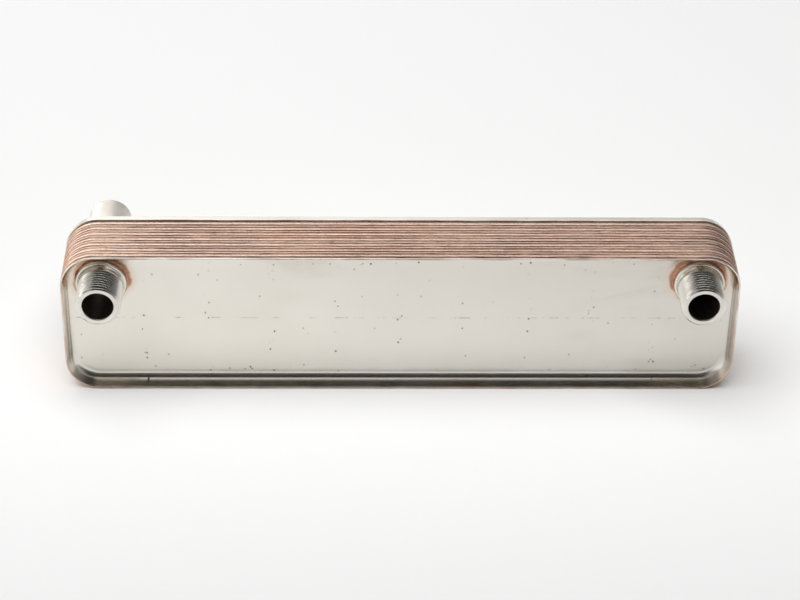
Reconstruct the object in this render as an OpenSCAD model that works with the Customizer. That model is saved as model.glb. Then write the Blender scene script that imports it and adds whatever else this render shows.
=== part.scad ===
// Brazed plate heat exchanger.
// Thirteen pressed trays with a herringbone corrugation nest inside each
// other between two cover plates, and copper joins every touching edge.
// X runs along the length, Z is up, and the front nozzles point to -Y.
// The origin is at the middle of the bottom of the bounding box.

/* [Body] */
// Length of the plates over their rims
body_length = 315; // [312:1:340]
// Height of the plates over their rims
body_height = 74; // [73:0.5:90]
// Corner radius of the plates at their rims
corner_radius = 16; // [15:0.5:17]
// Depth from the front rim to the flat front face
pan_depth = 7.2; // [6.6:0.1:7.6]

/* [Plates] */
// Sheet thickness of the two cover plates
cover_sheet = 0.8; // [0.6:0.05:0.9]
// Sheet thickness of the channel plates
channel_sheet = 0.4; // [0.3:0.05:0.45]
// Distance from one channel plate to the next
plate_pitch = 2.24; // [2.1:0.02:2.5]
// Gap that the copper fills between two plates
braze_gap = 0.04; // [0.03:0.01:0.06]
// Wavelength of the corrugation, square to its ridges
wave = 7.6; // [7:0.1:9]
// Flat width on each crest of the corrugation
crest = 1.2; // [0.8:0.1:1.6]
// Angle between the ridges and the length of the plate
chevron = 60; // [50:1:65]
// How much shorter the skirt of every second channel plate is trimmed
trim = 0.4; // [0.1:0.05:0.6]
// Height of the back cover's skirt
back_skirt = 5.2; // [4.6:0.1:5.4]

/* [Ports] */
// Port centre distance along the length
port_cx = 278; // [270:1:278]
// Port centre distance across the height
port_cz = 40; // [38:0.5:40]
// Radius of the port holes in the channel plates
port_r = 8; // [7.5:0.1:9]

/* [Front nozzles] */
// Length from the flat front face to the nozzle's end
nozzle_len = 21.6; // [20:0.1:27]
// Bore radius of every nozzle
bore_r = 7.2; // [6.5:0.1:7.5]
// Major radius of the half-inch parallel pipe thread
thread_r = 10.4775; // [10.4775:0.0005:10.48]
// Pitch of the thread
thread_pitch = 1.814; // [1.814:0.001:1.815]
// Radius of the collar at the nozzle's foot
collar_r = 11.85; // [11.6:0.05:12]
// Height of the collar
collar_h = 3.2; // [2.6:0.1:3.4]

/* [Back nozzles] */
// Length from the back cover to the end of a back nozzle
back_nozzle_len = 24; // [20:0.5:30]
// Outer radius of a back nozzle
back_nozzle_r = 10; // [9.6:0.1:10.4]
// Radius of the solder socket
socket_r = 8.05; // [8:0.05:8.5]
// Depth of the solder socket
socket_depth = 12; // [10:0.5:15]

/* [Hidden] */
$fn = 96;

plate_count = 13;
// the skirts flare so that nested sheets lie face to face
flare = asin((channel_sheet + braze_gap) / plate_pitch);
ta = tan(flare);
ca = cos(flare);
half_press = (plate_pitch - braze_gap) / 2;
// depths below are measured back from the front rim
first_mid = pan_depth + cover_sheet + braze_gap + half_press;
last_mid = first_mid + (plate_count - 1) * plate_pitch;
stack = last_mid + half_press + braze_gap + cover_sheet;
rim_to_mid = first_mid - plate_pitch;
// the back cover wraps the last plate, so its rim stands a little proud
back_rim = stack - back_skirt;
back_out = (braze_gap + cover_sheet) / ca
    - (back_rim - plate_count * plate_pitch) * ta;
base = body_height / 2 + max(0, back_out);
front_out = nozzle_len - pan_depth;
y_front = (front_out - (stack + back_nozzle_len)) / 2;
mx = body_length / 2 - corner_radius;
mz = body_height / 2 - corner_radius;
thread_depth = 1.162;
eps = 0.01;

steel = [0.78, 0.77, 0.74];
steel_bright = [0.82, 0.81, 0.79];
stained = [0.76, 0.62, 0.55];
copper = [0.72, 0.42, 0.28];

// stands the flat plate frame upright: its x stays, its y turns up, and its
// z points to the front, with 0 at the front rim
module upright() {
    translate([0, y_front, base]) rotate([90, 0, 0]) children();
}

// a closed band around the rounded rectangle from one profile of
// [distance outward from the corner centre, z] points
module band(pts) {
    for (s = [0, 1]) rotate([0, 0, 180 * s]) {
        translate([-mx, mz, 0]) rotate([90, 0, 90])
            linear_extrude(2 * mx) polygon(pts);
        translate([mx, mz, 0]) rotate([90, 0, 0])
            linear_extrude(2 * mz) polygon(pts);
        translate([mx, mz, 0]) rotate_extrude(angle = 90) polygon(pts);
        translate([-mx, mz, 0]) rotate([0, 0, 90])
            rotate_extrude(angle = 90) polygon(pts);
    }
}

// flat rounded sheet reaching r outward from the corner centres
module slab(r, z0, z1) {
    translate([0, 0, z0]) {
        translate([-mx - r, -mz, 0]) cube([2 * (mx + r), 2 * mz, z1 - z0]);
        translate([-mx, -mz - r, 0]) cube([2 * mx, 2 * (mz + r), z1 - z0]);
        for (sx = [-1, 1], sz = [-1, 1])
            translate([sx * mx, sz * mz, 0]) cylinder(r = r, h = z1 - z0);
    }
}

// solid filling the inside of a flared skirt, r0 outward at z0
module tapered_slab(r0, z0, z1) {
    r1 = r0 + (z1 - z0) * ta;
    pts_x = [[-mx - r0, z0], [mx + r0, z0], [mx + r1, z1], [-mx - r1, z1]];
    pts_z = [[-mz - r0, z0], [mz + r0, z0], [mz + r1, z1], [-mz - r1, z1]];
    translate([0, mz, 0]) rotate([90, 0, 0]) linear_extrude(2 * mz) polygon(pts_x);
    translate([-mx, 0, 0]) rotate([90, 0, 90]) linear_extrude(2 * mx) polygon(pts_z);
    for (sx = [-1, 1], sz = [-1, 1])
        translate([sx * mx, sz * mz, z0])
            cylinder(r1 = r0, r2 = r1, h = z1 - z0);
}

// inner radius of the bend between each cover's face and its skirt
front_bend = 3.4;
back_bend = 0.5;
function arc_pts(c, r, a0, a1, n) =
    [for (i = [0:n]) c + r * [cos(a0 + (a1 - a0) * i / n), sin(a0 + (a1 - a0) * i / n)]];
// cover tray: outer radius at the rim, rim z, front face z, inner bend radius
// and the angle that its skirt leans outward
function tray_centre(r, zr, zf, bend, slant) =
    let (zc = zf + bend)
    [r - (cover_sheet + bend - (zc - zr) * sin(slant)) / cos(slant), zc];
module cover_tray(r, zr, zf, bend, slant) {
    c = tray_centre(r, zr, zf, bend, slant);
    pts = concat([[c[0] - 1, zf]],
        arc_pts(c, bend, -90, -slant, 6),
        [[r - cover_sheet / cos(slant), zr], [r, zr]],
        arc_pts(c, bend + cover_sheet, -slant, -90, 6),
        [[c[0] - 1, zf - cover_sheet]]);
    band(pts);
    slab(c[0] - 0.6, zf - cover_sheet, zf);
}

// zig-zag section of the corrugation: u runs square to the ridges
slope_run = wave / 2 - crest;
slope_rise = 2 * (half_press - channel_sheet / 2);
mitre = channel_sheet / 2 * tan(atan2(slope_rise, slope_run) / 2);
// one chain of points; side 1 is the front surface, -1 the back surface
function chain(side, n) =
    [for (i = [-n:n]) each [
        [i * wave - crest / 2 - side * mitre, half_press - channel_sheet * (1 - side) / 2],
        [i * wave + crest / 2 + side * mitre, half_press - channel_sheet * (1 - side) / 2],
        [(i + 0.5) * wave - crest / 2 + side * mitre, -half_press + channel_sheet * (1 + side) / 2],
        [(i + 0.5) * wave + crest / 2 - side * mitre, -half_press + channel_sheet * (1 + side) / 2]]];
function flip(v) = [for (i = [len(v) - 1:-1:0]) v[i]];
waves = ceil((body_length / 2 * sin(chevron) + body_height / 2 * cos(chevron)) / wave) + 1;
sheet_pts = concat(chain(1, waves), flip(chain(-1, waves)));
function fill_pts(level) =
    let (c = chain(-level, waves), z = level * half_press)
    concat([[c[0][0], z]], c, [[c[len(c) - 1][0], z]]);

// ridges slanting away from the centre line on one half of the plate
module half_field(pts) {
    intersection() {
        rotate([0, 0, chevron - 90])
            rotate([90, 0, 0])
                translate([0, 0, -body_length])
                    linear_extrude(2 * body_length) polygon(pts);
        translate([-body_length, 0, -5])
            cube([2 * body_length, body_height, 10]);
    }
}
module field(pts) {
    half_field(pts);
    mirror([0, 1, 0]) half_field(pts);
}

module at_ports() {
    for (sx = [-1, 1], sz = [-1, 1])
        translate([sx * port_cx / 2, sz * port_cz / 2, 0]) children();
}
port_rim = 13;

// pressed sheet with its mid plane at z = 0: the ports of the upper row are
// raised to the front and those of the lower row are sunk to the back
module pressed_web(r_mid) {
    half = half_press;
    t = channel_sheet;
    difference() {
        intersection() {
            field(sheet_pts);
            tapered_slab(r_mid - half * ta, -half, half);
        }
        at_ports() translate([0, 0, -half - 1]) cylinder(r = port_rim - t / 2, h = 2 * half + 2);
    }
    for (sz = [-1, 1]) {
        // flat seat around each port
        for (sx = [-1, 1]) translate([sx * port_cx / 2, sz * port_cz / 2, 0])
            difference() {
                translate([0, 0, sz > 0 ? half - t : -half]) cylinder(r = port_rim, h = t);
                translate([0, 0, -half - 1]) cylinder(r = port_r, h = 2 * half + 2);
            }
        // steep wall from the seat down to the corrugation around it
        intersection() {
            for (sx = [-1, 1]) translate([sx * port_cx / 2, sz * port_cz / 2, -half])
                difference() {
                    cylinder(r = port_rim, h = 2 * half);
                    translate([0, 0, -1]) cylinder(r = port_rim - t, h = 2 * half + 2);
                }
            field(fill_pts(sz));
        }
    }
}

// channel plate number k, counted from the front
module channel_plate(k) {
    even = k % 2 == 0;
    zr = -k * plate_pitch;
    zm = zr - rim_to_mid;
    zt = zr - (even ? trim : 0);
    r_back = corner_radius - (rim_to_mid + half_press) * ta;
    zb = zm - half_press;
    ti = channel_sheet / ca;
    r_trim = corner_radius - (zr - zt) * ta;
    color(stained) upright() {
        rotate([0, 0, even ? 180 : 0]) {
            band([[r_back - ti, zb], [r_back, zb], [r_trim, zt], [r_trim - ti, zt]]);
            translate([0, 0, zm])
                pressed_web(corner_radius - rim_to_mid * ta - ti / 2);
        }
    }
}

module front_cover_plate() {
    color(steel) upright() difference() {
        cover_tray(corner_radius, 0, -pan_depth, front_bend, flare);
        for (sx = [-1, 1]) translate([sx * port_cx / 2, port_cz / 2, -pan_depth - 2])
            cylinder(r = spigot_r, h = 4);
    }
}

module channel_plate_01() { channel_plate(1); }
module channel_plate_02() { channel_plate(2); }
module channel_plate_03() { channel_plate(3); }
module channel_plate_04() { channel_plate(4); }
module channel_plate_05() { channel_plate(5); }
module channel_plate_06() { channel_plate(6); }
module channel_plate_07() { channel_plate(7); }
module channel_plate_08() { channel_plate(8); }
module channel_plate_09() { channel_plate(9); }
module channel_plate_10() { channel_plate(10); }
module channel_plate_11() { channel_plate(11); }
module channel_plate_12() { channel_plate(12); }
module channel_plate_13() { channel_plate(13); }

spigot_r = 8.8;

module back_cover_plate() {
    color(steel) upright() difference() {
        // its skirt leans with the others and turns in over a tight bend
        cover_tray(corner_radius + back_out, -back_rim, -stack + cover_sheet,
            back_bend, flare);
        for (p = [[-1, 1], [-1, -1], [1, -1]])
            translate([p[0] * port_cx / 2, p[1] * port_cz / 2, -stack - 1])
                cylinder(r = spigot_r, h = 4);
    }
}

// section of a front nozzle, from its spigot to its chamfered end
thread_start = collar_h + 2.9;
thread_end = nozzle_len - 1.3;
thread_turns = floor((thread_end - thread_start) / thread_pitch);
thread_root = thread_r - thread_depth;
function thread_pts() = [for (i = [0:thread_turns - 1]) each
    let (z = thread_start + i * thread_pitch) [
        [thread_r, z + 0.2], [thread_root, z + 0.75],
        [thread_root, z + 1.05], [thread_r, z + 1.6]]];
module front_nozzle(x) {
    top = nozzle_len;
    pts = concat(
        [[bore_r, -cover_sheet], [spigot_r, -cover_sheet], [spigot_r, 0],
         [collar_r, 0], [collar_r, collar_h - 0.3], [collar_r - 0.3, collar_h],
         [thread_r + 0.45, collar_h], [thread_r + 0.45, collar_h + 0.9],
         [thread_r, collar_h + 1.3], [thread_r, thread_start]],
        thread_pts(),
        [[thread_r, top - 1.1], [thread_root, top], [bore_r, top]]);
    color(steel_bright) upright() translate([x, port_cz / 2, -pan_depth])
        rotate_extrude() polygon(pts);
}
module nozzle_front_left() { front_nozzle(-port_cx / 2); }
module nozzle_front_right() { front_nozzle(port_cx / 2); }

// plain back nozzle with a solder socket
module back_nozzle(x, y) {
    len = back_nozzle_len;
    pts = [[bore_r, -cover_sheet], [spigot_r, -cover_sheet], [spigot_r, 0],
        [collar_r, 0], [collar_r, collar_h - 0.3], [collar_r - 0.3, collar_h],
        [back_nozzle_r, collar_h], [back_nozzle_r, len - 0.4],
        [back_nozzle_r - 0.4, len], [socket_r + 0.4, len],
        [socket_r, len - 0.4], [socket_r, len - socket_depth],
        [bore_r, len - socket_depth]];
    color(steel_bright) upright() translate([x, y, -stack])
        rotate([180, 0, 0]) rotate_extrude() polygon(pts);
}
module nozzle_back_upper_left() { back_nozzle(-port_cx / 2, port_cz / 2); }
module nozzle_back_lower_left() { back_nozzle(-port_cx / 2, -port_cz / 2); }
module nozzle_back_lower_right() { back_nozzle(port_cx / 2, -port_cz / 2); }

// fillet of copper around a collar
fillet_pts = [[collar_r, 0], [collar_r + 0.42, 0], [collar_r + 0.42, 0.06],
    [collar_r + 0.16, 0.24], [collar_r, 0.7]];
module braze_front(x) {
    color(copper) upright() translate([x, port_cz / 2, -pan_depth])
        rotate_extrude() polygon(fillet_pts);
}
module braze_back(x, y) {
    color(copper) upright() translate([x, y, -stack])
        rotate([180, 0, 0]) rotate_extrude() polygon(fillet_pts);
}
module braze_ring_front_left() { braze_front(-port_cx / 2); }
module braze_ring_front_right() { braze_front(port_cx / 2); }
module braze_ring_back_upper_left() { braze_back(-port_cx / 2, port_cz / 2); }
module braze_ring_back_lower_left() { braze_back(-port_cx / 2, -port_cz / 2); }
module braze_ring_back_lower_right() { braze_back(port_cx / 2, -port_cz / 2); }

// copper drawn into the step between each skirt and the rim behind it
module rim_braze_seams() {
    color(copper) upright() for (k = [1:plate_count]) {
        even = k % 2 == 0;
        z = -k * plate_pitch - (even ? trim : 0);
        // outer face of the sheet in front, at this rim's depth
        r0 = corner_radius - (-z - (k - 1) * plate_pitch) * ta;
        w = min(0.24, channel_sheet * 0.6);
        band([[r0, z], [r0 + braze_gap / ca + w, z], [r0 + 0.45 * ta, z + 0.45]]);
    }
}

// copper between the port seats that touch, which keeps the circuits apart
module port_braze_rings() {
    color(copper) upright() for (k = [1:plate_count + 1]) {
        // the upper row seals in front of odd plates, the lower row behind
        upper = k % 2 == 1;
        z = -(first_mid + (k - 1) * plate_pitch - half_press);
        for (sx = [-1, 1]) translate([sx * port_cx / 2,
                (upper ? 1 : -1) * port_cz / 2, z])
            difference() {
                cylinder(r = port_rim - 1, h = braze_gap);
                translate([0, 0, -1]) cylinder(r = port_r + 1.2, h = 2);
            }
    }
}

front_cover_plate();
channel_plate_01();
channel_plate_02();
channel_plate_03();
channel_plate_04();
channel_plate_05();
channel_plate_06();
channel_plate_07();
channel_plate_08();
channel_plate_09();
channel_plate_10();
channel_plate_11();
channel_plate_12();
channel_plate_13();
back_cover_plate();
nozzle_front_left();
nozzle_front_right();
nozzle_back_upper_left();
nozzle_back_lower_left();
nozzle_back_lower_right();
braze_ring_front_left();
braze_ring_front_right();
braze_ring_back_upper_left();
braze_ring_back_lower_left();
braze_ring_back_lower_right();
rim_braze_seams();
port_braze_rings();
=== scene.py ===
import math

import bmesh
import bpy
import numpy as np
from mathutils import Matrix, Vector
from mathutils.geometry import delaunay_2d_cdt


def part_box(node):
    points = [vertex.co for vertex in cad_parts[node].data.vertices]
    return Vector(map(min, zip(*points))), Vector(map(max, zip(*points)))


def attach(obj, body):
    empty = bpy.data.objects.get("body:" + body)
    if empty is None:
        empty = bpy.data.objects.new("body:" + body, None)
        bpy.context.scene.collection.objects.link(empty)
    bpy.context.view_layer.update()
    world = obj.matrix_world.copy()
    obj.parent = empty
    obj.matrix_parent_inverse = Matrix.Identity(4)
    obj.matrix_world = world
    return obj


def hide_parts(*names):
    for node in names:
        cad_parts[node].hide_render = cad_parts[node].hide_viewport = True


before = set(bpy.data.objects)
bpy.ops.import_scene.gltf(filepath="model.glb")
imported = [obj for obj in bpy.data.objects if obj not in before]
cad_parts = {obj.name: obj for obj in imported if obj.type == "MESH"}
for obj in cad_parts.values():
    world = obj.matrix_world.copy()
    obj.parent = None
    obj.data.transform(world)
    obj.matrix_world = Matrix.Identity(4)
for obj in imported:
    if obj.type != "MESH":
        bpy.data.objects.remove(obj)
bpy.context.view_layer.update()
scene = bpy.context.scene

MM = 0.001
rng = np.random.default_rng(7)

# ---------------------------------------------------------------- frame sizes
fc_lo, fc_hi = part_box("front_cover_plate")
bc_lo, bc_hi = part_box("back_cover_plate")
Y0 = fc_lo.y / MM                       # front rim plane
ZC = (fc_lo.z + fc_hi.z) / 2 / MM       # mid height
HX = (fc_hi.x - fc_lo.x) / 2 / MM       # half length over the rims
HZ = (fc_hi.z - fc_lo.z) / 2 / MM       # half height over the rims
R = 16.0                                # corner radius at the rims
MX, MZ = HX - R, HZ - R
STACK = bc_hi.y / MM - Y0               # front rim to back face
PITCH, T_CH, T_CV, GAP = 2.24, 0.4, 0.8, 0.04
PAN = (fc_hi.y - fc_lo.y) / MM - T_CV
FLARE = math.asin((T_CH + GAP) / PITCH)
TA, CA, SA = math.tan(FLARE), math.cos(FLARE), math.sin(FLARE)
HALF = (PITCH - GAP) / 2
MID0 = PAN + T_CV + GAP + HALF          # first plate's mid plane
RISE = MID0 - PITCH                     # rim to mid plane
nl_lo, nl_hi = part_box("nozzle_front_left")
nr_lo, nr_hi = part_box("nozzle_front_right")
bl_lo, bl_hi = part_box("nozzle_back_lower_left")
PX = (nr_lo.x + nr_hi.x) / 2 / MM       # port centre from the middle
PZ_UP = (nl_lo.z + nl_hi.z) / 2 / MM - ZC
PZ_LO = (bl_lo.z + bl_hi.z) / 2 / MM - ZC
N_LEN = PAN - (nl_lo.y / MM - Y0)       # flat face to nozzle end
B_LEN = bl_hi.y / MM - Y0 - STACK


# ------------------------------------------------------------------ mesh tools
def wave_sum(s, total, lo, hi, seed, n=14):
    """A smooth closed ripple along a loop of length total, about -1 to 1."""
    g = np.random.default_rng(seed)
    k = np.unique(np.round(np.geomspace(total / hi, total / lo, n)).astype(int))
    out = np.zeros_like(s)
    for i in k:
        out += np.sin(2 * math.pi * i * s / total + g.uniform(0, 6.283)) * g.uniform(0.5, 1)
    return out / math.sqrt(len(k))


def to_world(p):
    """mm in plate space (x, depth behind the front rim, height from the middle) to metres."""
    p = np.asarray(p, float)
    out = np.empty_like(p)
    out[:, 0] = p[:, 0]
    out[:, 1] = p[:, 1] + Y0
    out[:, 2] = p[:, 2] + ZC
    return out * MM


def build(name, pts, faces, material, nodes, masks=None, merge=None, angle=40, split=None):
    me = bpy.data.meshes.new(name)
    me.from_pydata(to_world(pts).tolist(), [], [list(map(int, f)) for f in faces])
    for key, values in (masks or {}).items():
        a = me.attributes.new(key, "FLOAT", "POINT")
        a.data.foreach_set("value", np.asarray(values, np.float32))
    bm = bmesh.new()
    bm.from_mesh(me)
    if merge:
        bmesh.ops.remove_doubles(bm, verts=bm.verts, dist=merge * MM)
    bmesh.ops.recalc_face_normals(bm, faces=bm.faces)
    bm.to_mesh(me)
    bm.free()
    me.validate()
    o = bpy.data.objects.new(name, me)
    scene.collection.objects.link(o)
    me.materials.append(material)
    me.shade_smooth()
    bpy.context.view_layer.objects.active = o
    o.select_set(True)
    bpy.ops.object.shade_auto_smooth(angle=math.radians(angle))
    o.select_set(False)
    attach(o, "root")
    if nodes:
        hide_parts(*nodes)
    return o


def perimeter(step=1.0, corner=26):
    """Samples round the corner-centre rectangle: centre points, outward normals, run length at the rim."""
    c, n = [], []

    def line(a, b, nn):
        m = max(2, int(round(math.dist(a, b) / step)))
        for i in range(m):
            t = i / m
            c.append((a[0] + (b[0] - a[0]) * t, a[1] + (b[1] - a[1]) * t))
            n.append(nn)

    def turn(p, a0):
        for i in range(corner):
            a = math.radians(a0 + 90 * i / corner)
            c.append(p)
            n.append((math.cos(a), math.sin(a)))

    line((MX, -MZ), (MX, MZ), (1, 0))
    turn((MX, MZ), 0)
    line((MX, MZ), (-MX, MZ), (0, 1))
    turn((-MX, MZ), 90)
    line((-MX, MZ), (-MX, -MZ), (-1, 0))
    turn((-MX, -MZ), 180)
    line((-MX, -MZ), (MX, -MZ), (0, -1))
    turn((MX, -MZ), 270)
    c, n = np.array(c, float), np.array(n, float)
    p = c + n * R
    d = np.linalg.norm(np.roll(p, -1, 0) - p, axis=1)
    s = np.concatenate([[0], np.cumsum(d)[:-1]])
    return c, n, s, float(d.sum())


C, N, S, TOTAL = perimeter()
NS = len(S)


def sweep(profile_r, profile_d, closed):
    """profile arrays are (NS, m): outward distance and depth at each perimeter sample."""
    m = profile_r.shape[1]
    x = C[:, 0:1] + N[:, 0:1] * profile_r
    z = C[:, 1:2] + N[:, 1:2] * profile_r
    pts = np.stack([x, profile_d, z], 2).reshape(-1, 3)
    i = np.arange(NS)[:, None]
    jn = m if closed else m - 1
    j = np.arange(jn)[None, :]
    i2, j2 = (i + 1) % NS, (j + 1) % m
    faces = np.stack([(i * m + j) + 0 * j, i2 * m + j, i2 * m + j2, i * m + j2 + 0 * i], 2).reshape(-1, 4)
    return pts, faces


def circle(cx, cz, r, n):
    a = np.arange(n) * 2 * math.pi / n
    return np.stack([cx + r * np.cos(a), cz + r * np.sin(a)], 1)


def flat_fill(outer, holes, spacing, rows=None):
    """Triangles over the inside of a loop, less round holes [(cx, cz, r, n)], with an even grid of points within."""
    loops = [np.asarray(outer, float)] + [circle(*h) for h in holes]
    extra = []
    for cx, cz, r, n in holes:
        for k, f in enumerate((1.06, 1.14, 1.24)):
            extra.append(circle(cx, cz, r * f, n))
    nx = int(2 * (MX + R) / spacing)
    nz = int(2 * (MZ + R) / spacing)
    gx, gz = np.meshgrid(np.linspace(-HX, HX, nx), np.linspace(-HZ, HZ, nz))
    g = np.stack([gx.ravel(), gz.ravel()], 1)
    g[:, 0] += (np.round((g[:, 1] + HZ) / (2 * HZ) * (nz - 1)).astype(int) % 2) * spacing * 0.5
    rim = reach(outer[:, 0], outer[:, 1]).min()
    keep = reach(g[:, 0], g[:, 1]) < rim - spacing * 0.7
    for cx, cz, r, n in holes:
        keep &= np.hypot(g[:, 0] - cx, g[:, 1] - cz) > r * 1.24 + spacing * 0.6
    g = g[keep]
    if extra:
        ex = np.concatenate(extra)
        ex = ex[reach(ex[:, 0], ex[:, 1]) < rim - 0.3]
        g = np.concatenate([g, ex])
    verts, edges, base = [], [], 0
    for lp in loops:
        m = len(lp)
        verts.append(lp)
        edges += [(base + a, base + (a + 1) % m) for a in range(m)]
        base += m
    verts.append(g)
    v = np.concatenate(verts)
    ov, oe, of, *_ = delaunay_2d_cdt([Vector(p) for p in v], edges, [], 0, 1e-7)
    ov = np.array([(p.x, p.y) for p in ov])
    tri = np.array([f for f in of if len(f) == 3])
    cen = ov[tri].mean(1)
    ok = np.ones(len(tri), bool)
    for cx, cz, r, n in holes:
        ok &= np.hypot(cen[:, 0] - cx, cen[:, 1] - cz) > r * math.cos(math.pi / n) * 0.999
    return ov, tri[ok]


def reach(x, z):
    """Outward distance of a point from the corner-centre rectangle (negative inside it)."""
    qx, qz = np.abs(x) - MX, np.abs(z) - MZ
    return np.hypot(np.maximum(qx, 0), np.maximum(qz, 0)) + np.minimum(np.maximum(qx, qz), 0)


def smooth(t):
    t = np.clip(t, 0, 1)
    return t * t * (3 - 2 * t)


def arc(cr, cd, r, a0, a1, n):
    """Arc in (outward, depth) space; angle 0 points outward, 90 points back."""
    a = np.radians(np.linspace(a0, a1, n))
    return [(cr + r * math.cos(t), cd + r * math.sin(t)) for t in a]


# ------------------------------------------------------------------ materials
class Mat:
    """A small helper that wires one procedural material."""

    def __init__(self, name):
        self.m = bpy.data.materials.new(name)
        self.m.use_nodes = True
        self.t = self.m.node_tree
        self.t.nodes.clear()
        self.out = self.t.nodes.new("ShaderNodeOutputMaterial")
        self.b = self.t.nodes.new("ShaderNodeBsdfPrincipled")
        self.t.links.new(self.b.outputs[0], self.out.inputs[0])
        self.co = self.t.nodes.new("ShaderNodeTexCoord").outputs["Object"]

    def link(self, value, socket):
        if isinstance(value, bpy.types.NodeSocket):
            self.t.links.new(value, socket)
        else:
            socket.default_value = value

    def math(self, op, a, b=0.0, c=0.0, clamp=False):
        n = self.t.nodes.new("ShaderNodeMath")
        n.operation, n.use_clamp = op, clamp
        for i, v in enumerate((a, b, c)):
            self.link(v, n.inputs[i])
        return n.outputs[0]

    def vec(self, op, a, b=(0, 0, 0)):
        n = self.t.nodes.new("ShaderNodeVectorMath")
        n.operation = op
        self.link(a, n.inputs[0])
        self.link(b, n.inputs[1])
        return n.outputs["Value" if op in ("LENGTH", "DISTANCE", "DOT_PRODUCT") else "Vector"]

    def xyz(self, v=None):
        n = self.t.nodes.new("ShaderNodeSeparateXYZ")
        self.link(v or self.co, n.inputs[0])
        return n.outputs

    def noise(self, scale, detail=2.0, rough=0.5, stretch=None, distort=0.0, seed=0.0):
        v = self.co
        if stretch or seed:
            v = self.vec("MULTIPLY_ADD", v, stretch or (1, 1, 1))
            self.link((seed, seed * 0.7, -seed), self.t.nodes[-1].inputs[2])
        n = self.t.nodes.new("ShaderNodeTexNoise")
        self.link(v, n.inputs["Vector"])
        n.inputs["Scale"].default_value = scale
        n.inputs["Detail"].default_value = detail
        n.inputs["Roughness"].default_value = rough
        n.inputs["Distortion"].default_value = distort
        return n.outputs["Fac"]

    def voronoi(self, scale, stretch=None):
        v = self.vec("MULTIPLY", self.co, stretch) if stretch else self.co
        n = self.t.nodes.new("ShaderNodeTexVoronoi")
        self.link(v, n.inputs["Vector"])
        n.inputs["Scale"].default_value = scale
        return n.outputs

    def step(self, v, lo, hi, to0=0.0, to1=1.0):
        n = self.t.nodes.new("ShaderNodeMapRange")
        n.interpolation_type = "SMOOTHSTEP"
        self.link(v, n.inputs["Value"])
        for k, x in (("From Min", lo), ("From Max", hi), ("To Min", to0), ("To Max", to1)):
            n.inputs[k].default_value = x
        return n.outputs["Result"]

    def mix(self, fac, a, b, blend="MIX"):
        n = self.t.nodes.new("ShaderNodeMix")
        n.data_type, n.blend_type = "RGBA", blend
        self.link(fac, n.inputs[0])
        self.link((*a, 1) if isinstance(a, tuple) else a, n.inputs[6])
        self.link((*b, 1) if isinstance(b, tuple) else b, n.inputs[7])
        return n.outputs[2]

    def attr(self, name):
        n = self.t.nodes.new("ShaderNodeAttribute")
        n.attribute_name = name
        return n.outputs["Fac"]

    def bump(self, height, strength, distance, normal=None):
        n = self.t.nodes.new("ShaderNodeBump")
        n.inputs["Strength"].default_value = strength
        n.inputs["Distance"].default_value = distance
        self.link(height, n.inputs["Height"])
        if normal:
            self.link(normal, n.inputs["Normal"])
        return n.outputs[0]

    def done(self, colour, rough, normal=None, metallic=1.0):
        self.link(colour, self.b.inputs["Base Color"])
        self.link(rough, self.b.inputs["Roughness"])
        self.b.inputs["Metallic"].default_value = metallic
        if normal:
            self.link(normal, self.b.inputs["Normal"])
        return self.m


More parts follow.
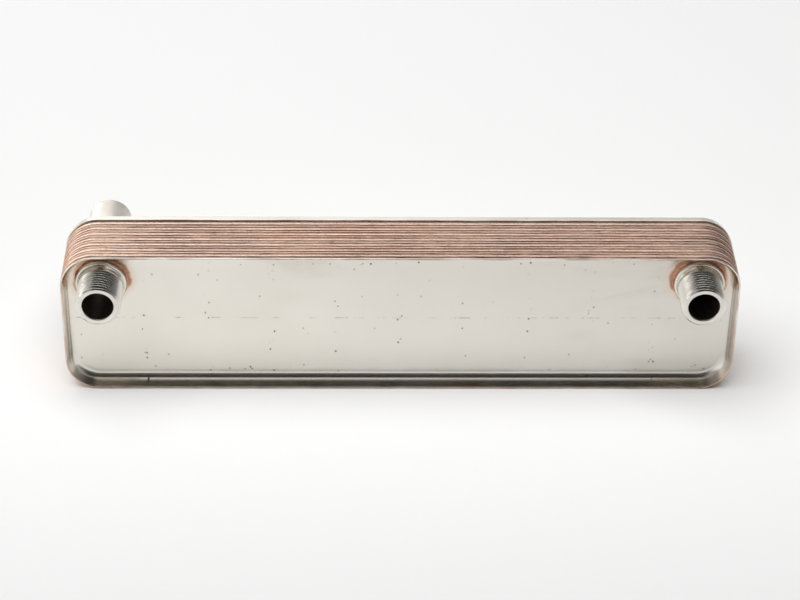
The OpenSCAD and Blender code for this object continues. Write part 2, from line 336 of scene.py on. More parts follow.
def cover_material(name, ports, front):
    k = Mat(name)
    x, y, z = k.xyz()
    # slow clouds left by the furnace
    cloud = k.noise(11, 2, 0.5, (1, 1, 1.5))
    base = k.mix(k.step(cloud, 0.32, 0.68), (0.770, 0.738, 0.672), (0.815, 0.785, 0.722))
    tint = k.noise(8, 2, 0.5, (1, 1, 1), 0.3, 4.0)
    base = k.mix(k.math("MULTIPLY", k.step(tint, 0.46, 0.74), 0.45), base, (0.770, 0.712, 0.630))
    # painted shade: the face is painted darker towards the right-hand end, where less light falls
    right_shade = k.step(x, -0.13, 0.14)
    base = k.mix(right_shade, base, (0.690, 0.664, 0.613))
    # light brown smears, soft at their edges
    smear = k.noise(30, 3, 0.55, (0.50, 1, 1.5), 0.7, 11.0)
    where = k.noise(10, 1, 0.5, (1, 1, 1), 0.0, 21.0)
    smear = k.math("MULTIPLY", k.step(smear, 0.44, 0.78), k.step(where, 0.44, 0.64))
    base = k.mix(k.math("MULTIPLY", smear, 0.60), base, (0.520, 0.450, 0.350))
    # handling specks: short columns every 30 mm, a faint line along the middle and dashes by the edges
    mid = ZC * MM
    cell = k.voronoi(330, (1.2, 0, 1))
    keep = k.xyz(cell["Color"])
    dot = k.step(cell["Distance"], 0.12, 0.26, 1.0, 0.0)
    col = k.step(k.math("PINGPONG", k.math("ADD", x, 0.0002), 0.015), 0.0011, 0.0019, 1.0, 0.0)
    low = k.step(k.noise(60, 1, 0.5, (1, 0, 1), 0.0, 9.0), 0.32, 0.48)
    below = k.step(z, mid - 0.006, mid + 0.022, 1.0, 0.25)
    col = k.math("MULTIPLY", k.math("MULTIPLY", col, low), k.math("MULTIPLY", below, k.step(keep[0], 0.22, 0.27)))
    edge = k.math("ABSOLUTE", k.math("SUBTRACT", z, mid))
    edge = k.math("MULTIPLY", k.step(edge, 0.0285, 0.0290), k.step(edge, 0.0306, 0.0311, 1.0, 0.0))
    edge = k.math("MULTIPLY", edge, k.math("MULTIPLY", k.step(keep[1], 0.62, 0.66), k.step(k.noise(30, 1, 0.5, None, 0, 5.0), 0.45, 0.55)))
    stray = k.math("MULTIPLY", k.step(keep[2], 0.965, 0.975), 0.55)
    speck = k.math("MULTIPLY", dot, k.math("MAXIMUM", k.math("MAXIMUM", col, edge), stray))
    line = k.step(k.math("ABSOLUTE", k.math("SUBTRACT", z, mid - 0.0008)), 0.00012, 0.00042, 1.0, 0.0)
    line = k.math("MULTIPLY", line, k.step(k.noise(220, 3, 0.7, (1, 1, 0.05), 0, 5.0), 0.50, 0.66))
    speck = k.math("MAXIMUM", speck, k.math("MULTIPLY", line, 0.55))
    base = k.mix(k.math("MULTIPLY", speck, 0.90), base, (0.150, 0.130, 0.110))
    # copper drawn out round each nozzle's foot
    near = None
    for px, pz in ports:
        dx = k.math("SUBTRACT", x, px * MM)
        dz = k.math("SUBTRACT", z, (pz + ZC) * MM)
        d = k.math("SQRT", k.math("ADD", k.math("MULTIPLY", dx, dx), k.math("MULTIPLY", dz, dz)))
        near = d if near is None else k.math("MINIMUM", near, d)
    rag = k.noise(95, 3, 0.6, None, 0.4, 2.0)
    near = k.math("ADD", near, k.math("MULTIPLY", k.math("SUBTRACT", rag, 0.5), 0.0040))
    up = k.step(k.math("SUBTRACT", z, (PZ_UP + ZC - 12) * MM), 0.0, 0.022, 0.0, 0.0016)
    reach_n = k.math("SUBTRACT", near, up) if front else near
    halo = k.step(reach_n, 0.0119, 0.0134, 1.0, 0.0)
    wash = k.step(reach_n, 0.0124, 0.0165, 0.60, 0.0)
    base = k.mix(wash, base, (0.720, 0.545, 0.440))
    halo_col = k.mix(k.step(rag, 0.4, 0.62), (0.350, 0.170, 0.100), (0.660, 0.385, 0.260))
    base = k.mix(k.math("MULTIPLY", halo, 0.90), base, halo_col)
    # rim: sheared edge wetted by copper
    rim = k.attr("rim")
    rr = k.noise(120, 3, 0.6, (0.35, 1, 0.35), 0.0, 6.0)
    rim_col = k.mix(k.step(rr, 0.40, 0.60), (0.560, 0.420, 0.360), (0.880, 0.810, 0.740))
    foot = k.step(z, (ZC - HZ + 6) * MM, (ZC - HZ + 14) * MM, 0.80, 0.0)
    rim_col = k.mix(foot, rim_col, (0.430, 0.290, 0.215))
    base = k.mix(k.math("MULTIPLY", rim, 0.85), base, rim_col)
    # the side of the tray is flushed with copper here and there
    side = k.attr("side")
    flush = k.math("MULTIPLY", side, k.step(k.noise(38, 4, 0.6, (0.5, 1, 0.5), 0.2, 8.0), 0.48, 0.66))
    base = k.mix(k.math("MULTIPLY", flush, 0.70 if front else 0.12), base, (0.640, 0.450, 0.350))
    if not front:
        base = k.mix(k.math("MULTIPLY", side, k.step(x, -0.16, 0.06, 0.60, 0.08)), base, (0.610, 0.575, 0.530))
    rough = k.step(k.noise(60, 3, 0.6), 0.3, 0.7, 0.215, 0.270)
    rough = k.math("ADD", rough, k.math("MULTIPLY", halo, 0.12))
    rough = k.math("SUBTRACT", rough, k.math("MULTIPLY", side, 0.05))
    fine = k.noise(1400, 2, 0.5, (0.15, 1, 1))
    slow = k.noise(16, 1, 0.5)
    nrm = k.bump(slow, 0.20, 0.0004)
    nrm = k.bump(fine, 0.06, 0.00002, nrm)
    nrm = k.bump(k.math("MULTIPLY", speck, -1.0), 0.3, 0.00005, nrm)
    nrm = k.bump(k.math("MULTIPLY", rag, halo), 0.4, 0.0003, nrm)
    return k.done(base, rough, nrm)


def channel_material(name, lit_rims, seed):
    """Pressed sheet after brazing: a pink copper film, grainy where it is heavy, thin and grey where it ran off."""
    k = Mat(name)
    x, y, z = k.xyz()
    streak = k.noise(70, 3, 0.6, (0.12, 5.0, 0.5), 0.3, seed)
    film = k.noise(22, 3, 0.55, (0.7, 1.2, 1.0), 0.4, seed + 3)
    bead = k.voronoi(1650, (0.7, 1.0, 0.8))
    spark = k.xyz(bead["Color"])
    left_light = k.step(x, -0.152, -0.095, 1.0, 0.0)          # painted light: the left-hand end is painted lighter, with fewer dark streaks and rims
    steel = k.mix(k.step(streak, 0.40, 0.60), (0.790, 0.580, 0.474), (0.880, 0.690, 0.585))
    cu = k.mix(k.step(streak, 0.38, 0.62), (0.825, 0.545, 0.422), (0.935, 0.675, 0.552))
    base = k.mix(k.step(film, 0.38, 0.62), steel, cu)
    base = k.mix(k.math("MULTIPLY", left_light, 0.65), base, (0.960, 0.740, 0.610))
    dark = k.math("MULTIPLY", k.step(streak, 0.30, 0.42, 1.0, 0.0), k.math("SUBTRACT", 0.45, k.math("MULTIPLY", left_light, 0.25)))
    base = k.mix(dark, base, (0.430, 0.270, 0.195))
    grain = k.step(spark[0], 0.0, 1.0)
    # painted glints: pale specks on the copper grain; the dark specks are grain
    base = k.mix(k.math("MULTIPLY", k.step(spark[0], 0.74, 0.80), 0.55), base, (0.960, 0.810, 0.710))
    base = k.mix(k.math("MULTIPLY", k.step(spark[1], 0.78, 0.84), 0.45), base, (0.360, 0.225, 0.165))
    # at the right-hand end the skirts, nearly bare steel there, are painted darker in streaks: painted shade in the
    # gaps between the rims
    right_gap_shade = k.math("MULTIPLY", k.step(x, 0.118, 0.146), k.step(k.noise(300, 3, 0.6, (0.4, 1, 0.6), 0.0, seed + 2), 0.35, 0.60))
    base = k.mix(k.math("MULTIPLY", right_gap_shade, 0.5), base, (0.400, 0.300, 0.255))
    ragged = k.step(k.noise(26, 3, 0.6, (0.8, 1.6, 0.6), 0.4, seed + 14), 0.36, 0.56, 0.30, 1.0)
    rim = k.math("MULTIPLY", k.attr("rim"), k.math("SUBTRACT", ragged, k.math("MULTIPLY", left_light, 0.4)), 0.0, True)
    rc = k.noise(75, 3, 0.6, (0.14, 1, 0.3), 0.0, seed + 9)
    # odd plates' rims are painted light, a painted highlight on the rims that stand proud; even plates' rims are
    # painted dark, painted shade in the gaps
    if lit_rims:
        rim_col = k.mix(k.step(rc, 0.34, 0.50), (0.690, 0.475, 0.365), (0.955, 0.795, 0.695))
        # painted highlights: the light rims are painted near white at the right-hand end
        rim_col = k.mix(k.step(x, 0.118, 0.142), rim_col, (0.980, 0.900, 0.850))
    else:
        rim_col = k.mix(k.step(rc, 0.46, 0.66), (0.360, 0.215, 0.150), (0.740, 0.540, 0.430))
    base = k.mix(k.math("MULTIPLY", rim, 0.9), base, rim_col)
    inner = k.attr("web")
    base = k.mix(inner, base, k.mix(k.step(film, 0.40, 0.65), (0.600, 0.560, 0.510), (0.640, 0.440, 0.340)))
    rough = k.step(film, 0.35, 0.65, 0.33, 0.42)
    nrm = k.bump(k.noise(110, 2, 0.5, (0.3, 1, 0.3), 0.0, seed), 0.35, 0.00015)
    grainy = k.math("MULTIPLY", k.math("SUBTRACT", 1.0, bead["Distance"]), k.step(film, 0.34, 0.58, 0.55, 1.0))
    nrm = k.bump(grainy, 0.55, 0.00010, nrm)
    return k.done(base, rough, nrm)


def seam_material():
    k = Mat("copper_seam")
    n = k.noise(110, 4, 0.65, (0.22, 1, 0.35), 0.3)
    g = k.noise(1300, 2, 0.6)
    base = k.mix(k.step(n, 0.38, 0.60), (0.235, 0.125, 0.088), (0.480, 0.295, 0.215))
    base = k.mix(k.math("MULTIPLY", k.step(g, 0.58, 0.7), 0.35), base, (0.700, 0.500, 0.390))
    # painted light: the seams are painted lighter towards the left-hand end
    base = k.mix(k.step(k.xyz()[0], -0.152, -0.100, 0.75, 0.0), base, (0.860, 0.630, 0.500))
    nrm = k.bump(g, 0.5, 0.00008)
    return k.done(base, k.step(n, 0.3, 0.7, 0.34, 0.50), nrm)


def fillet_material():
    k = Mat("copper_fillet")
    n = k.noise(160, 4, 0.6, None, 0.5)
    g = k.noise(900, 3, 0.6)
    base = k.mix(k.step(n, 0.36, 0.62), (0.250, 0.120, 0.070), (0.660, 0.370, 0.240))
    nrm = k.bump(n, 0.5, 0.0003)
    nrm = k.bump(g, 0.25, 0.00005, nrm)
    return k.done(base, k.step(n, 0.3, 0.7, 0.26, 0.44), nrm)


def turned_material(name, cx, cz, tone, matt=0.0):
    """Turned stainless: fine tool rings round the axis, with a little furnace tint."""
    k = Mat(name)
    x, y, z = k.xyz()
    dx = k.math("SUBTRACT", x, cx * MM)
    dz = k.math("SUBTRACT", z, (cz + ZC) * MM)
    rad = k.math("SQRT", k.math("ADD", k.math("MULTIPLY", dx, dx), k.math("MULTIPLY", dz, dz)))
    comb = k.t.nodes.new("ShaderNodeCombineXYZ")
    k.link(rad, comb.inputs[0])
    k.link(y, comb.inputs[1])
    rings = k.t.nodes.new("ShaderNodeTexNoise")
    k.link(comb.outputs[0], rings.inputs["Vector"])
    rings.inputs["Scale"].default_value = 3000
    rings.inputs["Detail"].default_value = 1
    rings = rings.outputs["Fac"]
    cloud = k.noise(90, 3, 0.6)
    base = k.mix(k.step(cloud, 0.35, 0.65), tone, tuple(c * 0.90 for c in tone))
    base = k.mix(k.math("MULTIPLY", k.step(k.noise(160, 4, 0.6, None, 0.3, 5.0), 0.58, 0.70), 0.35), base, (0.520, 0.430, 0.320))
    # painted shade: the inside of the bore is painted dark
    bore = k.step(rad, 0.0071, 0.00745, 1.0, 0.0)
    inside = k.attr("bore")
    base = k.mix(inside, base, (0.240, 0.200, 0.170))
    rough = k.step(rings, 0.3, 0.7, 0.15 + matt, 0.21 + matt)
    rough = k.math("ADD", rough, k.math("MULTIPLY", inside, 0.30))
    nrm = k.bump(rings, 0.03, 0.00002)
    return k.done(base, rough, nrm)


UP_PORTS = [(-PX, PZ_UP), (PX, PZ_UP)]
BACK_PORTS = [(-PX, PZ_UP), (-PX, PZ_LO), (PX, PZ_LO)]
M_FRONT = cover_material("cover_steel_front", UP_PORTS, True)
M_BACK = cover_material("cover_steel_back", BACK_PORTS, False)
# lit and shaded copies of one material: painted highlight on the odd plates' rims, painted shade on the even plates'
# rims
M_CH = [channel_material("channel_steel_lit_rims", True, 1.0), channel_material("channel_steel_shaded_rims", False, 5.0)]
M_SEAM = seam_material()
M_FILLET = fillet_material()


# ----------------------------------------------------------------- cover trays
def cover(name, r_rim, d_rim, d_face, ports, material, node, seed, bend, slant):
    """d_face is the front surface of the flat web; the sheet reaches T_CV further back behind it."""
    cs, sn = math.cos(slant), math.sin(slant)
    cd = d_face - bend
    cr = r_rim - T_CV / cs - (bend + (cd - d_rim) * sn) / cs
    deg = math.degrees(slant)
    inner = arc(cr, cd, bend, 90, deg, 9)          # flat face out to the skirt
    outer = arc(cr, cd, bend + T_CV, deg, 90, 9)   # skirt back to the rear face
    top_i = (r_rim - T_CV / cs, d_rim)
    e = T_CV / cs
    skirt_i = [(inner[-1][0] + (top_i[0] - inner[-1][0]) * t, inner[-1][1] + (top_i[1] - inner[-1][1]) * t) for t in (0.2, 0.4, 0.6, 0.8, 0.92)]
    lip = [(r_rim - e + 0.02, d_rim + 0.14), (r_rim - e + 0.12, d_rim + 0.02), (r_rim - e * 0.55, d_rim - 0.0),
           (r_rim - 0.14, d_rim + 0.03), (r_rim - 0.02, d_rim + 0.16)]
    o0 = (r_rim, d_rim)
    skirt_o = [(o0[0] + (outer[0][0] - o0[0]) * t, o0[1] + (outer[0][1] - o0[1]) * t) for t in (0.12, 0.3, 0.5, 0.7, 0.85)]
    prof = inner + skirt_i + lip + skirt_o + outer
    n_in, n_si = len(inner), len(skirt_i)
    pr = np.tile([p[0] for p in prof], (NS, 1))
    pd = np.tile([p[1] for p in prof], (NS, 1))
    # the sheared rim wanders a little, less towards the web
    w = np.array([0.0] * n_in + [0.1, 0.25, 0.5, 0.8, 0.95] + [1.0] * 5 + [0.9, 0.6, 0.3, 0.1, 0.0] + [0.0] * len(outer))
    pd += (0.06 + 0.11 * wave_sum(S, TOTAL, 9, 220, seed))[:, None] * w[None, :]
    pr += (-0.035 + 0.03 * wave_sum(S, TOTAL, 14, 260, seed + 1))[:, None] * w[None, :]
    pts, faces = sweep(pr, pd, False)
    m = len(prof)
    rim = np.tile([0.0] * (n_in + n_si - 1) + [0.5] + [1.0] * 5 + [0.6] + [0.0] * (len(skirt_o) - 1 + len(outer)), NS)
    side = np.tile([0.0] * 2 + [0.3] * (n_in - 2) + [1.0] * (n_si + 5 + len(skirt_o)) + [0.6] * (len(outer) - 2) + [0.0] * 2, NS)
    all_pts, all_faces, masks_r, masks_s = [pts], [faces.tolist()], [rim], [side]
    base = len(pts)
    rc = inner[0][0]
    loop = C + N * rc
    holes = [(px, pz, 8.8, 72) for px, pz in ports]
    v2, tri = flat_fill(loop, holes, 3.2)
    # a barely visible set of hollows pressed in by the plates behind
    away = np.clip((rc - reach(v2[:, 0], v2[:, 1])) / 9, 0, 1)
    for px, pz in ports:
        away = np.minimum(away, np.clip((np.hypot(v2[:, 0] - px, v2[:, 1] - pz) - 9.5) / 8, 0, 1))
    g = np.random.default_rng(seed)
    relief = np.zeros(len(v2))
    for _ in range(26):
        kx, kz = g.normal(0, 0.035), g.normal(0, 0.05)
        relief += np.sin(kx * v2[:, 0] + kz * v2[:, 1] + g.uniform(0, 6.28))
    relief *= 0.014 * smooth(away)
    for d, flip in ((d_face, False), (d_face + T_CV, True)):
        p = np.stack([v2[:, 0], np.full(len(v2), d) + relief, v2[:, 1]], 1)
        all_pts.append(p)
        f = tri + base
        all_faces.append((f[:, ::-1] if flip else f).tolist())
        masks_r.append(np.zeros(len(p)))
        masks_s.append(np.zeros(len(p)))
        base += len(p)
    for px, pz in ports:
        c2 = circle(px, pz, 8.8, 72)
        a = np.stack([c2[:, 0], np.full(72, d_face), c2[:, 1]], 1)
        b = np.stack([c2[:, 0], np.full(72, d_face + T_CV), c2[:, 1]], 1)
        all_pts += [a, b]
        all_faces.append([(base + i, base + (i + 1) % 72, base + 72 + (i + 1) % 72, base + 72 + i) for i in range(72)])
        masks_r.append(np.zeros(144))
        masks_s.append(np.zeros(144))
        base += 144
    return build(name, np.concatenate(all_pts), sum(all_faces, []), material, [node],
                 {"rim": np.concatenate(masks_r), "side": np.concatenate(masks_s)}, merge=0.002, angle=50)


cover("front_cover", R, 0.0, PAN, UP_PORTS, M_FRONT, "front_cover_plate", 31, 3.6, FLARE)
BACK_RIM = (bc_lo.y / MM) - Y0
R_BACK = (bc_hi.z - bc_lo.z) / 2 / MM - MZ
cover("back_cover", R_BACK, BACK_RIM, STACK - T_CV, BACK_PORTS, M_BACK, "back_cover_plate", 57, 0.5, FLARE)

# --------------------------------------------------------------- channel plates
LAMBDA, BETA = 7.6, math.radians(60)
PORT_R, SEAT_R = 8.0, 13.0
bend_i, bend_o = 0.9, 0.9 + T_CH
cd_c = RISE + T_CH / 2 - bend_o                        # bend centre depth behind this rim
cr_c = R - (bend_o + cd_c * SA) / CA                   # bend centre outward distance
R_WEB = cr_c
web_v, web_t = flat_fill(C[::2] + N[::2] * R_WEB, [(sx * PX, sz, PORT_R, 48) for sx in (-1, 1) for sz in (PZ_UP, PZ_LO)], 1.12)


def web_level(x, z):
    """Mid surface of an odd plate's web in front (-) or behind (+) of its mid plane."""
    amp = HALF - T_CH / 2
    az = np.sqrt(z * z + 1.2)
    u = x * math.sin(BETA) - az * math.cos(BETA)
    s = np.sin(2 * math.pi * u / LAMBDA + math.pi / 2)
    level = -amp * (1.18 * s - 0.18 * s ** 3)
    level = level * smooth((R_WEB - reach(x, z)) / 2.6)
    for sx in (-1, 1):
        for pz, seat in ((PZ_UP, -amp), (PZ_LO, amp)):
            d = np.hypot(x - sx * PX, z - pz)
            t = smooth((d - SEAT_R + 1.0) / 2.4)
            level = seat * (1 - t) + level * t
    return level


def channel(k):
    even = k % 2 == 0
    d0 = k * PITCH
    cut = 0.4 if even else 0.0
    lip = 0.10 if not even else 0.03
    deg = math.degrees(FLARE)
    oi = arc(cr_c, cd_c, bend_i, 90, deg, 5)
    oo = arc(cr_c, cd_c, bend_o, deg, 90, 5)
    e = T_CH / CA

    def on_outer(d):
        return (R - d * TA, d)

    def on_inner(d):
        return (R - e - d * TA, d)

    depths = [2.6, 1.6, 0.8, 0.35]
    prof = oi + [on_inner(cut + d) for d in depths]
    n0 = len(prof)
    prof += [(on_inner(cut + 0.09)[0] + 0.02, cut + 0.07), (R - (cut * TA) - e * 0.5, cut), (on_outer(cut + 0.07)[0] - 0.03, cut + 0.05)]
    prof += [on_outer(cut + d) for d in (0.18, 0.45, 0.9, 1.5, 2.3, 3.2)] + oo
    rv = np.array([p[0] for p in prof])
    dv = np.array([p[1] for p in prof])
    near = np.exp(-((dv - cut) / 0.32) ** 2)
    pr = np.tile(rv, (NS, 1)) + (lip * (0.75 + 0.25 * wave_sum(S, TOTAL, 8, 60, 100 + k)))[:, None] * near[None, :]
    pr += (0.030 * wave_sum(S, TOTAL, 5, 40, 200 + k))[:, None] * near[None, :]
    pd = np.tile(dv, (NS, 1)) + d0 + (0.10 * wave_sum(S, TOTAL, 6, 160, 300 + k))[:, None] * np.exp(-((dv - cut) / 1.2) ** 2)[None, :]
    pr = np.minimum(pr, R + 0.11)
    m = len(prof)
    rim = np.tile([0.0] * (n0 - 1) + [0.6] + [1.0] * 3 + [0.75, 0.15] + [0.0] * (m - n0 - 5), NS)
    pts, faces = sweep(pr, pd, False)
    x, z = web_v[:, 0], web_v[:, 1]
    sgn = -1.0 if even else 1.0
    lv = web_level(x * sgn, z * sgn)
    mid = d0 + RISE
    web_f = np.stack([x, mid + lv - T_CH / 2, z], 1)
    web_b = np.stack([x, mid + lv + T_CH / 2, z], 1)
    base = len(pts)
    allp = [pts, web_f, web_b]
    allf = [faces.tolist(), (web_t + base).tolist(), (web_t[:, ::-1] + base + len(web_f)).tolist()]
    base += 2 * len(web_f)
    for sx in (-1, 1):
        for pz, seat in ((PZ_UP, -1), (PZ_LO, 1)):
            c2 = circle(sx * PX, pz, PORT_R, 48)
            lv2 = web_level(c2[:, 0] * sgn, c2[:, 1] * sgn)
            a = np.stack([c2[:, 0], mid + lv2 - T_CH / 2, c2[:, 1]], 1)
            b = np.stack([c2[:, 0], mid + lv2 + T_CH / 2, c2[:, 1]], 1)
            allp += [a, b]
            allf.append([(base + i, base + (i + 1) % 48, base + 48 + (i + 1) % 48, base + 48 + i) for i in range(48)])
            base += 96
    total = sum(len(p) for p in allp)
    rimm = np.zeros(total)
    rimm[:len(rim)] = rim
    web = np.zeros(total)
    web[len(pts):] = 1.0
    name = f"channel_plate_shell_{k:02d}"
    return build(name, np.concatenate(allp), sum(allf, []), M_CH[0 if not even else 1],
                 [f"channel_plate_{k:02d}"], {"rim": rimm, "web": web}, merge=0.002, angle=50)


for k in range(1, 14):
    channel(k)

# ------------------------------------------------------------- copper rim seams
sp, sf, base = [], [], 0
for k in range(1, 14):
    cut = 0.4 if k % 2 == 0 else 0.0
    d = k * PITCH + cut
    r0 = R - (PITCH + cut) * TA                 # face of the sheet in front, at this rim
    run = 0.42 + 0.16 * wave_sum(S, TOTAL, 4, 70, 400 + k)
    up = 0.20 + 0.07 * wave_sum(S, TOTAL, 5, 90, 500 + k)
    run, up = np.clip(run, 0.12, 0.9), np.clip(up, 0.06, 0.34)
    pr = np.stack([np.full(NS, r0 - 0.03), r0 + GAP + up, r0 + GAP + up * 0.55 + 0.01, r0 + 0.10 * up + (run * 0.45) * TA + 0.03, r0 + run * TA - 0.01], 1)
    pd = np.stack([np.full(NS, d + 0.12), np.full(NS, d + 0.04), d - 0.12 * run, d - 0.5 * run, d - run], 1)
    p, f = sweep(pr, pd, True)
    sp.append(p)
    sf += (f + base).tolist()
    base += len(p)
build("rim_seams", np.concatenate(sp), sf, M_SEAM, ["rim_braze_seams"], angle=70)


# --------------------------------------------------------------------- nozzles
def lathe(name, cx, cz, d_face, sign, rows, seg, material, node, bore_from, radial=None, angle=35):
    """rows: (distance from the face, radius) from the bore's inner end round the outside and back. sign -1 points to the front."""
    rows = np.array(rows, float)
    a = np.arange(seg) * 2 * math.pi / seg
    rad = np.tile(rows[:, 1:2], (1, seg))
    if radial is not None:
        rad = radial(rows[:, 0:1] + 0 * a[None, :], rad, a[None, :] + 0 * rows[:, 0:1])
    x = cx + rad * np.cos(a)[None, :]
    z = cz + rad * np.sin(a)[None, :]
    y = d_face + sign * rows[:, 0:1] + 0 * a[None, :]
    pts = np.stack([x, y, z], 2).reshape(-1, 3)
    n = len(rows)
    i = np.arange(n)[:, None]
    j = np.arange(seg)[None, :]
    i2, j2 = (i + 1) % n, (j + 1) % seg
    f = np.stack([i * seg + j, i * seg + j2, i2 * seg + j2, i2 * seg + j], 2).reshape(-1, 4)
    bore = np.zeros((n, seg))
    bore[bore_from:] = 1.0
    return build(name, pts, f.tolist(), material, [node], {"bore": bore.ravel()}, angle=angle)


TH_R, TH_P, TH_D = 10.4775, 1.814, 1.162
BORE = 7.2
COLLAR, COLLAR_H = 11.85, PAN - 4.0


def thread(zv, rad, a):
    t = zv / TH_P + a / (2 * math.pi)
    c = 2 * math.pi * t
    h = 0.5 + 0.5 * (0.89 * np.cos(c) + 0.11 * np.cos(3 * c))
    depth = TH_D * smooth((zv - COLLAR_H - 2.6) / 1.5)
    r = TH_R - 0.02 - depth * (1 - h)
    cone = 9.25 + (N_LEN - 0.04 - zv) * 1.05
    r = np.minimum(r, np.maximum(cone, 9.25))
    body = (zv > COLLAR_H + 2.05) & (rad > 10.2)
    return np.where(body, r, rad)


def front_nozzle(name, cx, node):
    rows = [(-T_CV, BORE + 0.15), (-T_CV, 8.6), (-T_CV + 0.2, 8.8), (-0.02, 8.8), (-0.02, COLLAR - 0.05), (0.05, COLLAR)]
    rows += [(COLLAR_H - 0.42, COLLAR), (COLLAR_H - 0.30, COLLAR - 0.04), (COLLAR_H - 0.08, COLLAR - 0.28), (COLLAR_H, COLLAR - 0.40)]
    rows += [(COLLAR_H, 11.06), (COLLAR_H + 0.05, 10.97), (COLLAR_H + 0.16, 10.93), (COLLAR_H + 0.75, 10.93), (COLLAR_H + 0.9, 10.88), (COLLAR_H + 1.2, 10.50), (COLLAR_H + 1.35, 10.44), (COLLAR_H + 1.9, 10.4575)]
    zs = np.arange(COLLAR_H + 2.1, N_LEN - 0.02, 0.088)
    rows += [(z, TH_R) for z in zs]
    rows += [(N_LEN - 0.02, 9.18), (N_LEN, 9.10), (N_LEN, 8.3), (N_LEN, 7.62), (N_LEN - 0.03, 7.52)]
    b = len(rows)
    rows += [(N_LEN - 0.30, BORE + 0.03), (N_LEN - 0.45, BORE)]
    rows += [(N_LEN - 0.45 - i * (N_LEN - 0.45 + T_CV - 0.3) / 6, BORE) for i in range(1, 7)]
    rows += [(-T_CV + 0.1, BORE + 0.06)]
    mat = turned_material(name + "_steel", cx, PZ_UP, (0.800, 0.775, 0.715))
    return lathe(name, cx, PZ_UP, PAN, -1, rows, 160, mat, node, b + 1, thread, 50)


front_nozzle("front_nozzle_left", -PX, "nozzle_front_left")
front_nozzle("front_nozzle_right", PX, "nozzle_front_right")


def back_nozzle(name, cx, cz, node):
    ro, so, sd = 10.0, 8.05, 12.0
    rows = [(-T_CV, BORE + 0.15), (-T_CV, 8.6), (-T_CV + 0.2, 8.8), (-0.02, 8.8), (-0.02, COLLAR - 0.05), (0.05, COLLAR)]
    rows += [(COLLAR_H - 0.42, COLLAR), (COLLAR_H - 0.30, COLLAR - 0.04), (COLLAR_H - 0.08, COLLAR - 0.28), (COLLAR_H, COLLAR - 0.40)]
    rows += [(COLLAR_H, ro + 0.25), (COLLAR_H + 0.06, ro + 0.08), (COLLAR_H + 0.25, ro)]
    rows += [(COLLAR_H + 0.25 + i * (B_LEN - 0.45 - COLLAR_H - 0.25) / 10, ro) for i in range(1, 11)]
    rows += [(B_LEN - 0.30, ro - 0.05), (B_LEN - 0.06, ro - 0.30), (B_LEN, ro - 0.42), (B_LEN, so + 0.42), (B_LEN - 0.05, so + 0.30)]
    b = len(rows)
    rows += [(B_LEN - 0.35, so + 0.03), (B_LEN - 0.5, so), (B_LEN - sd / 2, so), (B_LEN - sd + 0.1, so), (B_LEN - sd, so - 0.1), (B_LEN - sd, BORE + 0.1), (B_LEN - sd - 0.1, BORE), (4, BORE), (-T_CV + 0.1, BORE + 0.06)]
    mat = turned_material(name + "_steel", cx, cz, (0.700, 0.664, 0.610), 0.22)
    return lathe(name, cx, cz, STACK, 1, rows, 128, mat, node, b + 2, None, 35)


back_nozzle("back_nozzle_upper_left", -PX, PZ_UP, "nozzle_back_upper_left")
back_nozzle("back_nozzle_lower_left", -PX, PZ_LO, "nozzle_back_lower_left")
back_nozzle("back_nozzle_lower_right", PX, PZ_LO, "nozzle_back_lower_right")


def fillet(name, cx, cz, d_face, sign, node, seed, reach_out):
    seg = 180
    a = np.arange(seg) * 2 * math.pi / seg
    s = a / (2 * math.pi)
    out = COLLAR + reach_out * (0.8 + 0.35 * wave_sum(s, 1.0, 1 / 22, 0.5, seed))
    # the film is stopped by the bend of the tray above and beside the foot
    free = R - T_CV / CA - PAN * TA - 2.0
    for _ in range(1):
        lim_z = (MZ + free - abs(cz)) / np.maximum(np.abs(np.sin(a)) * np.where(np.sin(a) * np.sign(cz) > 0, 1, 1e-3), 1e-6)
        lim_x = (MX + free - abs(cx)) / np.maximum(np.abs(np.cos(a)) * np.where(np.cos(a) * np.sign(cx) > 0, 1, 1e-3), 1e-6)
        out = np.minimum(out, np.maximum(np.minimum(lim_z, lim_x), COLLAR + 0.35))
    h = np.clip(0.75 + 0.28 * wave_sum(s, 1.0, 1 / 14, 0.5, seed + 1), 0.3, 1.25)
    ts = np.array([0.0, 0.12, 0.28, 0.48, 0.7, 0.88, 1.0])
    rad = [np.full(seg, COLLAR - 0.08)]
    hh = [np.full(seg, -0.03)]
    rad.append(np.full(seg, COLLAR - 0.08)); hh.append(h)
    for t in ts:
        rad.append(COLLAR + 0.01 + (out - COLLAR) * t)
        hh.append(0.02 + (h - 0.02) * (1 - t) ** 3.0)
    rad.append(out + 0.05); hh.append(np.full(seg, -0.03))
    rad, hh = np.array(rad), np.array(hh)
    x = cx + rad * np.cos(a)[None, :]
    z = cz + rad * np.sin(a)[None, :]
    y = d_face + sign * hh
    pts = np.stack([x, y, z], 2).reshape(-1, 3)
    n = len(rad)
    i = np.arange(n)[:, None]
    j = np.arange(seg)[None, :]
    i2, j2 = (i + 1) % n, (j + 1) % seg
    f = np.stack([i * seg + j, i * seg + j2, i2 * seg + j2, i2 * seg + j], 2).reshape(-1, 4)
    return build(name, pts, f.tolist(), M_FILLET, [node], angle=70)


fillet("front_fillet_left", -PX, PZ_UP, PAN, -1, "braze_ring_front_left", 71, 0.65)
fillet("front_fillet_right", PX, PZ_UP, PAN, -1, "braze_ring_front_right", 73, 0.65)
fillet("back_fillet_upper_left", -PX, PZ_UP, STACK, 1, "braze_ring_back_upper_left", 75, 0.9)
fillet("back_fillet_lower_left", -PX, PZ_LO, STACK, 1, "braze_ring_back_lower_left", 77, 0.9)
fillet("back_fillet_lower_right", PX, PZ_LO, STACK, 1, "braze_ring_back_lower_right", 79, 0.9)

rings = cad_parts["port_braze_rings"]
rings.data.materials.clear()
rings.data.materials.append(M_SEAM)

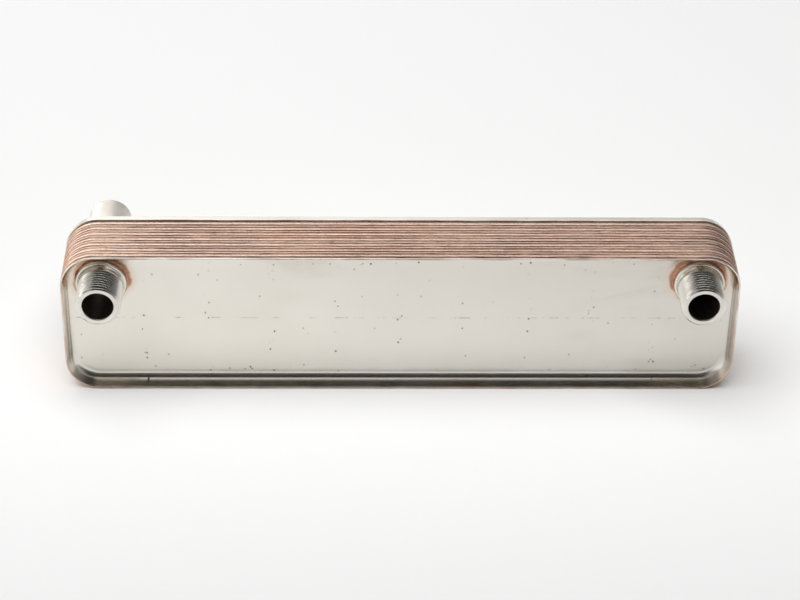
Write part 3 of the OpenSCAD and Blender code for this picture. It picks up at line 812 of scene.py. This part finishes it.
# ------------------------------------------------------------ floor and lights
floor_mat = Mat("floor_paper")
fn = floor_mat.noise(3.0, 2, 0.5)
fy = floor_mat.xyz()[1]
# painted light falloff: the floor is painted darker towards the front and lighter towards the back
paper = floor_mat.mix(floor_mat.step(fy, -0.24, -0.04), (0.765, 0.765, 0.764), (0.890, 0.890, 0.887))
paper = floor_mat.mix(floor_mat.step(fy, 0.05, 0.60), paper, (0.965, 0.965, 0.965))
paper = floor_mat.mix(floor_mat.math("MULTIPLY", floor_mat.step(fn, 0.3, 0.7), 0.06), paper, (0.80, 0.80, 0.80))
floor_m = floor_mat.done(paper, 0.75, None, 0.0)
floor_mat.b.inputs["Specular IOR Level"].default_value = 0.15
bpy.ops.mesh.primitive_plane_add(size=14, location=(0, 0, 0))
floor = bpy.context.object
floor.name = "floor"
floor.data.materials.append(floor_m)


def area(name, loc, target, size, power, size_y=None, colour=(1, 1, 1)):
    d = bpy.data.lights.new(name, "AREA")
    d.shape = "RECTANGLE"
    d.size, d.size_y = size, size_y or size
    d.energy, d.color = power, colour
    o = bpy.data.objects.new(name, d)
    scene.collection.objects.link(o)
    o.location = loc
    o.rotation_euler = (Vector(target) - Vector(loc)).to_track_quat("-Z", "Y").to_euler()
    return o


# the lights fall on the floor and on everything matt; what the metal mirrors is the room below
for lamp in (area("key_top", (-0.28, -0.45, 2.3), (-0.05, -0.05, 0), 3.0, 83, 2.4), area("left_card", (-1.9, -0.1, 0.9), (0, 0, 0.05), 1.1, 3, 1.2)):
    lamp.visible_glossy = False

# the room: a white backdrop behind and to the left, darkness in front below the overhead light
world = bpy.data.worlds.new("studio")
scene.world = world
world.use_nodes = True
world.cycles_visibility.diffuse = False
wt = world.node_tree
wt.nodes.clear()
wo = wt.nodes.new("ShaderNodeOutputWorld")
bg = wt.nodes.new("ShaderNodeBackground")
wt.links.new(bg.outputs[0], wo.inputs[0])
tc = wt.nodes.new("ShaderNodeTexCoord")
sep = wt.nodes.new("ShaderNodeSeparateXYZ")
wt.links.new(tc.outputs["Generated"], sep.inputs[0])


def wmap(sock, a, b, c, d):
    n = wt.nodes.new("ShaderNodeMapRange")
    n.interpolation_type = "SMOOTHSTEP"
    wt.links.new(sock, n.inputs[0])
    for i, v in enumerate((a, b, c, d)):
        n.inputs[i + 1].default_value = v
    return n.outputs[0]


def wmath(op, a, b):
    n = wt.nodes.new("ShaderNodeMath")
    n.operation = op
    for i, v in enumerate((a, b)):
        if isinstance(v, bpy.types.NodeSocket):
            wt.links.new(v, n.inputs[i])
        else:
            n.inputs[i].default_value = v
    return n.outputs[0]


side = wmath("MULTIPLY", wmap(sep.outputs[0], -0.25, 0.25, 1.72, 0.68), wmap(sep.outputs[2], 0.30, 0.58, 1.0, 0.66))
back = wmath("MULTIPLY", wmap(sep.outputs[1], 0.05, 0.40, 0.0, 1.0), side)
left = wmath("MULTIPLY", wmap(sep.outputs[0], -0.60, -0.22, 3.5, 0.0), wmap(sep.outputs[1], 0.1, 0.5, 0.35, 1.0))
left = wmath("MULTIPLY", left, wmap(sep.outputs[2], 0.18, 0.42, 1.0, 0.32))
right = wmap(sep.outputs[0], 0.55, 0.95, 0.0, 0.40)
top = wmath("MULTIPLY", wmap(sep.outputs[2], 0.915, 0.975, 0.0, 1.0), wmap(sep.outputs[1], -0.05, 0.12, 0.8, 2.5))
high = wmath("MULTIPLY", wmap(sep.outputs[2], 0.62, 0.80, 0.0, 2.5), wmap(sep.outputs[1], 0.08, 0.22, 0.0, 1.0))
level = wmath("MAXIMUM", wmath("MAXIMUM", back, wmath("MAXIMUM", top, high)), wmath("MAXIMUM", left, right))
level = wmath("MAXIMUM", level, wmap(sep.outputs[2], 0.42, 0.66, 0.085, 0.035))
wt.links.new(level, bg.inputs["Strength"])
bg.inputs["Color"].default_value = (1, 0.99, 0.975, 1)

# ---------------------------------------------------------------------- camera
cam_d = bpy.data.cameras.new("camera")
cam = bpy.data.objects.new("camera", cam_d)
scene.collection.objects.link(cam)
cam_d.sensor_width = 36
cam_d.lens = 2489.5 / 800 * 36
cam_d.shift_x = -1.0 / 800
cam_d.clip_start, cam_d.clip_end = 0.05, 50
pitch, yaw, roll = math.radians(34.447), math.radians(-1.372), math.radians(0.86)
cam.matrix_world = (Matrix.Translation((-0.0228, Y0 * MM - 0.9524, 0.7048))
                    @ Matrix.Rotation(yaw, 4, "Z") @ Matrix.Rotation(math.pi / 2 - pitch, 4, "X") @ Matrix.Rotation(roll, 4, "Z"))
scene.camera = cam
scene.view_settings.view_transform = "Standard"
